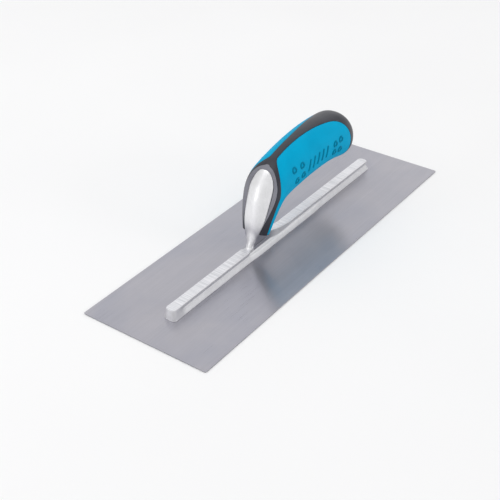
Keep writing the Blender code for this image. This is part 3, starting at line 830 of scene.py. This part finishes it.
def plated_steel():
    s = Surface("plated_steel", Metallic=1.0)
    turned_marks = s.noise((2400, 2400, 400), detail=3)
    tone = s.noise((300, 300, 300), detail=3)
    metal = s.ramp(tone, (0.32, (0.56, 0.57, 0.60)), (0.68, (0.70, 0.71, 0.74)))
    metal = s.blend("MIX", s.worn(0.52, 0.62), metal, (0.82, 0.82, 0.84))
    s.colour(metal)
    s.rough(s.math("ADD", s.math("MULTIPLY", turned_marks, 0.22), 0.20))
    s.bump((turned_marks, 0.00002))
    return s.material


def moulded(name, dark, light, rough_base, grain_depth, worn_tone, shade_marks=False, **values):
    """A moulded soft plastic with a fine sandy grain, slight clouding and painted shade in its hollows."""
    s = Surface(name, **values)
    grain = s.noise((2600, 2600, 2600), detail=3, rough=0.6)
    clouds = s.noise((70, 70, 70), detail=4, warp=0.4)
    scuffs = s.noise((60, 420, 420), detail=5, rough=0.7, turn=(0.3, 0.5, 0.2))
    tone = s.ramp(clouds, (0.30, dark), (0.70, light))
    tone = s.blend("MULTIPLY", 0.35, tone, s.ramp(grain, (0.30, 0.84), (0.62, 1.0)))
    tone = s.blend("MIX", s.math("MULTIPLY", s.worn(0.53, 0.62), 0.35), tone, worn_tone)
    # Painted shade in the hollows, where pointiness is low
    tone = s.blend("MULTIPLY", 1.0, tone, s.ramp(s.pointiness(), (0.43, 0.62), (0.49, 1.0)))
    if shade_marks:
        # Painted shade along the slopes of the raised rings and ribs
        tone = s.blend("MULTIPLY", 1.0, tone, s.ramp(s.layer("mark_shade"), (0.15, 1.0), (0.75, 0.55)))
    s.colour(tone)
    rough = s.math("ADD", s.math("MULTIPLY", grain, 0.10), s.math("MULTIPLY", scuffs, 0.14))
    s.rough(s.math("ADD", rough, rough_base))
    s.bump((scuffs, 0.00001), (grain, grain_depth))
    return s.material


def floor_surface():
    s = Surface("floor", Roughness=0.9)
    tone = s.noise((3, 3, 3), detail=2)
    s.colour(s.ramp(tone, (0.3, (0.93, 0.93, 0.935)), (0.7, (0.95, 0.95, 0.955))))
    return s.material


# ---------------------------------------------------------------------------------------- pieces

def rivet_places():
    return [RIVET_FIRST + RIVET_PITCH * i for i in range(RIVETS)]


def rivet_mesh(name, x, grow=0.0):
    below = -BLADE_THICKNESS
    head, stem = RIVET_HEAD_RADIUS + grow, RIVET_RADIUS + grow
    if grow:
        profile = [(below - 1.0, head), (below + 0.1, head), (0.0, stem), (RIVET_DEPTH + grow, stem)]
    else:
        profile = [(below + 0.02, head * 0.35), (below, head * 0.45), (below, head * 0.9),
                   (below + 0.04, head * 0.98), (below + 0.1, head), (-0.05, stem + 0.05), (0.0, stem),
                   (RIVET_DEPTH - 0.3, stem), (RIVET_DEPTH, stem - 0.3)]
    start = Vector(places(x, 0, 0))
    return turned(name, start, start + Vector((0, 0, MM)), profile)


def blade_mesh(name):
    """The blade: a thin plate with a rounded rim and countersunk holes."""
    rings = []
    levels = [(-BLADE_THICKNESS, BLADE_EDGE), (-BLADE_THICKNESS + BLADE_EDGE, 0.0),
              (-BLADE_EDGE, 0.0), (0.0, BLADE_EDGE)]
    for height, inset in levels:
        half_length, half_width = BLADE_LENGTH / 2 - inset, BLADE_WIDTH / 2 - inset
        corner = BLADE_CORNER - inset
        ring = []
        for quarter, (sx, sy) in enumerate(((1, 1), (-1, 1), (-1, -1), (1, -1))):
            angle = QUARTER_TURN + quarter * math.pi / 2
            ring.append(places(sx * (half_length - corner) + corner * np.cos(angle),
                               sy * (half_width - corner) + corner * np.sin(angle), height))
        rings.append(np.concatenate(ring))
    holes = [("DIFFERENCE", rivet_mesh("hole", x, CLEARANCE)) for x in rivet_places()]
    mesh = combined(name, loft(name, rings), holes)
    layer = mesh.uv_layers.new(name="along")    # for the direction of the brushing
    for loop in mesh.loops:
        place = mesh.vertices[loop.vertex_index].co
        layer.data[loop.index].uv = (place.y * 2.0 + 0.5, 0.5 - place.x * 2.0)
    return mesh


def mounting_mesh(name):
    shank = shank_mesh("shank")
    steps = [("UNION", shank), ("UNION", web_mesh("web", shank)), ("UNION", tang_mesh("tang"))]
    steps += [("DIFFERENCE", rivet_mesh("hole", x, CLEARANCE)) for x in rivet_places()]
    mesh = combined(name, rail_mesh("rail"), steps)
    for face in mesh.polygons:
        along, height = face.center.x / MM, face.center.z / MM - BLADE_THICKNESS
        level = RAIL_TOP - MILLED_BELOW < height < MILLED_LIMIT and face.normal.z > MILLED_FACING
        face.material_index = 1 if level and not UNMILLED[0] < along < UNMILLED[1] else 0
    corners = np.empty(3 * len(mesh.vertices))
    mesh.vertices.foreach_get("co", corners)
    x, _, z = corners.reshape(-1, 3).T / MM
    height = z - BLADE_THICKNESS
    # Painted shade behind the shank, round the web under the grip: from just above the rail's foot, fading
    # higher up
    above = height - FOOT_TOP - SHADE_START
    fade = 1 - smooth_step(above / SHADE_DEPTH - SHADE_FADE)
    painted_shade = zone_share(x, SHADE_ZONE) * smooth_step(above) * fade
    satin = 1 - smooth_step((height - SATIN_TOP) / SATIN_FADE)
    add_layer(mesh, "painted_shade", painted_shade)
    add_layer(mesh, "satin", satin)
    return mesh


def shell_mesh(name):
    bore_end = SCREW_SEAT + SCREW_HEAD_HEIGHT + WASHER_HEIGHT + ROOM
    bore = turned("bore", screw_place(-BORE_OUTSIDE), screw_place(0),
                  [(0, BORE_RADIUS), (BORE_OUTSIDE + bore_end, BORE_RADIUS)])
    core_room = grip_form("core_room", CORE_START, SHELL_DEPTH, CORE_SIDES, CORE_SPACING,
                          CORE_TAIL_STATIONS)
    steps = [
        ("DIFFERENCE", lip_space("lip_space")),
        ("DIFFERENCE", shank_mesh("shank_room", SHANK_ROOM)),
        ("DIFFERENCE", recess_mesh("recess", 1)),
        ("DIFFERENCE", recess_mesh("recess", -1)),
        ("DIFFERENCE", bore),
        ("DIFFERENCE", core_room),
    ]
    return combined(name, grip_form(name, 0.0, 0.0, GRIP_SIDES, GRIP_SPACING, TAIL_STATIONS), steps)


def screw_mesh(name):
    seat, onward = screw_place(SCREW_SEAT), screw_place(SCREW_SEAT + 1)
    edge = SCREW_EDGE
    profile = [(0, HEX_RADIUS + 0.5), (0, SCREW_HEAD_RADIUS - edge), (edge / 3, SCREW_HEAD_RADIUS - edge / 3),
               (edge, SCREW_HEAD_RADIUS), (SCREW_HEAD_HEIGHT, SCREW_HEAD_RADIUS),
               (SCREW_HEAD_HEIGHT, SCREW_RADIUS)]
    for i in range(THREAD_TURNS):
        start = SCREW_HEAD_HEIGHT + THREAD_START + i
        profile += [(start, SCREW_RADIUS), (start + 0.5, SCREW_RADIUS - THREAD_DEPTH)]
    profile.append((SCREW_LENGTH, SCREW_RADIUS - SCREW_TIP))
    socket = turned("socket", seat, onward, [(-2, HEX_RADIUS), (HEX_DEPTH, HEX_RADIUS)], sides=6)
    return combined(name, turned(name, seat, onward, profile), [("DIFFERENCE", socket)])


def washer_mesh(name):
    near = screw_place(SCREW_SEAT + SCREW_HEAD_HEIGHT + ROOM)
    onward = screw_place(SCREW_SEAT + SCREW_HEAD_HEIGHT + 1)
    thick = WASHER_HEIGHT - ROOM
    profile = [(0, WASHER_RADIUS - 0.2), (0.2, WASHER_RADIUS), (thick - 0.1, WASHER_RADIUS),
               (thick, WASHER_RADIUS - 0.1)]
    hole = turned("hole", near, onward, [(-2, SCREW_RADIUS + ROOM), (4, SCREW_RADIUS + ROOM)])
    return combined(name, turned(name, near, onward, profile), [("DIFFERENCE", hole)])


def make_pieces():
    steel, cast, milled, plated = brushed_steel(), cast_aluminium(), milled_aluminium(), plated_steel()
    charcoal = moulded("charcoal_rubber", (0.015, 0.016, 0.025), (0.024, 0.026, 0.039), 0.30, 0.00002,
                       (0.10, 0.10, 0.11))
    # The bevelled lip round the shank is the same charcoal rubber: this lighter copy paints the sheen from
    # the light above onto it
    lip_sheen = moulded("charcoal_painted_sheen", (0.170, 0.172, 0.205), (0.220, 0.222, 0.262), 0.28, 0.00001,
                  (0.24, 0.235, 0.25))
    blue = moulded("blue_rubber", (0.0, 0.350, 0.600), (0.0, 0.395, 0.665), 0.40, 0.00002,
                   (0.0, 0.44, 0.72), shade_marks=True, Specular_IOR_Level=0.05)
    core = moulded("grey_plastic", (0.085, 0.085, 0.092), (0.115, 0.115, 0.122), 0.40, 0.00002,
                   (0.18, 0.18, 0.19))

    piece("blade_sheet", blade_mesh("blade_sheet"), [steel], "blade_steel", "blade")
    piece("cast_mounting", mounting_mesh("cast_mounting"), [cast, milled], "cast_aluminium", "mounting")
    piece("soft_shell", shell_mesh("soft_shell"), [charcoal, lip_sheen], "charcoal_rubber", "grip_shell")
    for side, hand in ((1, "left"), (-1, "right")):
        name = f"soft_panel_{hand}"
        piece(name, panel_mesh(name, side), [blue], "blue_rubber", f"side_panel_{hand}", sharp=60)
    for i, x in enumerate(rivet_places(), start=1):
        piece(f"turned_rivet_{i}", rivet_mesh(f"turned_rivet_{i}", x), [plated], "plated_steel",
              f"rivet_{i}")
    piece("socket_screw", screw_mesh("socket_screw"), [plated], "plated_steel", "grip_screw")
    piece("turned_washer", washer_mesh("turned_washer"), [plated], "plated_steel", "screw_washer")

    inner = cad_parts["grip_core"]
    inner.data.materials.clear()
    inner.data.materials.append(core)


# ---------------------------------------------------------------------------------------- stage

def make_floor():
    shape = bmesh.new()
    bmesh.ops.create_grid(shape, x_segments=2, y_segments=2, size=FLOOR_REACH)
    mesh = bpy.data.meshes.new("floor")
    shape.to_mesh(mesh)
    shape.free()
    floor = add_object("floor", mesh)
    floor.location.z = -FLOOR_DROP
    mesh.materials.append(floor_surface())


def soft_light(name, place, target, size, power):
    light = bpy.data.lights.new(name, "AREA")
    light.shape = "DISK"
    light.size = size
    light.energy = power
    lamp = add_object(name, light)
    lamp.location = place
    lamp.rotation_mode = "QUATERNION"
    lamp.rotation_quaternion = (Vector(target) - Vector(place)).to_track_quat("-Z", "Y")
    return light


def make_lights():
    world = bpy.data.worlds.new("studio")
    bpy.context.scene.world = world
    world.use_nodes = True
    sky = world.node_tree.nodes["Background"]
    sky.inputs["Color"].default_value = (1.0, 1.0, 1.0, 1.0)
    sky.inputs["Strength"].default_value = SKY_STRENGTH
    lights = {name: soft_light(name, *values) for name, *values in LIGHTS}
    lights["strip"].shape = "RECTANGLE"
    lights["strip"].size_y = STRIP_HEIGHT


def make_camera():
    azimuth, elevation, roll = CAMERA_AZIMUTH, CAMERA_ELEVATION, CAMERA_ROLL
    back = Vector((math.sin(azimuth) * math.cos(elevation), -math.cos(azimuth) * math.cos(elevation),
                   math.sin(elevation)))
    right = Vector((math.cos(azimuth), math.sin(azimuth), 0.0))
    up = back.cross(right)
    across = right * math.cos(roll) + up * math.sin(roll)
    upward = up * math.cos(roll) - right * math.sin(roll)
    camera = add_object("camera", bpy.data.cameras.new("camera"))
    camera.data.lens = CAMERA_LENS
    camera.data.sensor_width = 36.0
    camera.data.clip_start = 0.01
    turn = Matrix((across, upward, back)).transposed().to_4x4()
    camera.matrix_world = Matrix.Translation(CAMERA_PLACE) @ turn
    bpy.context.scene.camera = camera


bpy.context.scene.view_settings.view_transform = "Standard"
make_camera()
make_lights()
make_floor()
make_pieces()
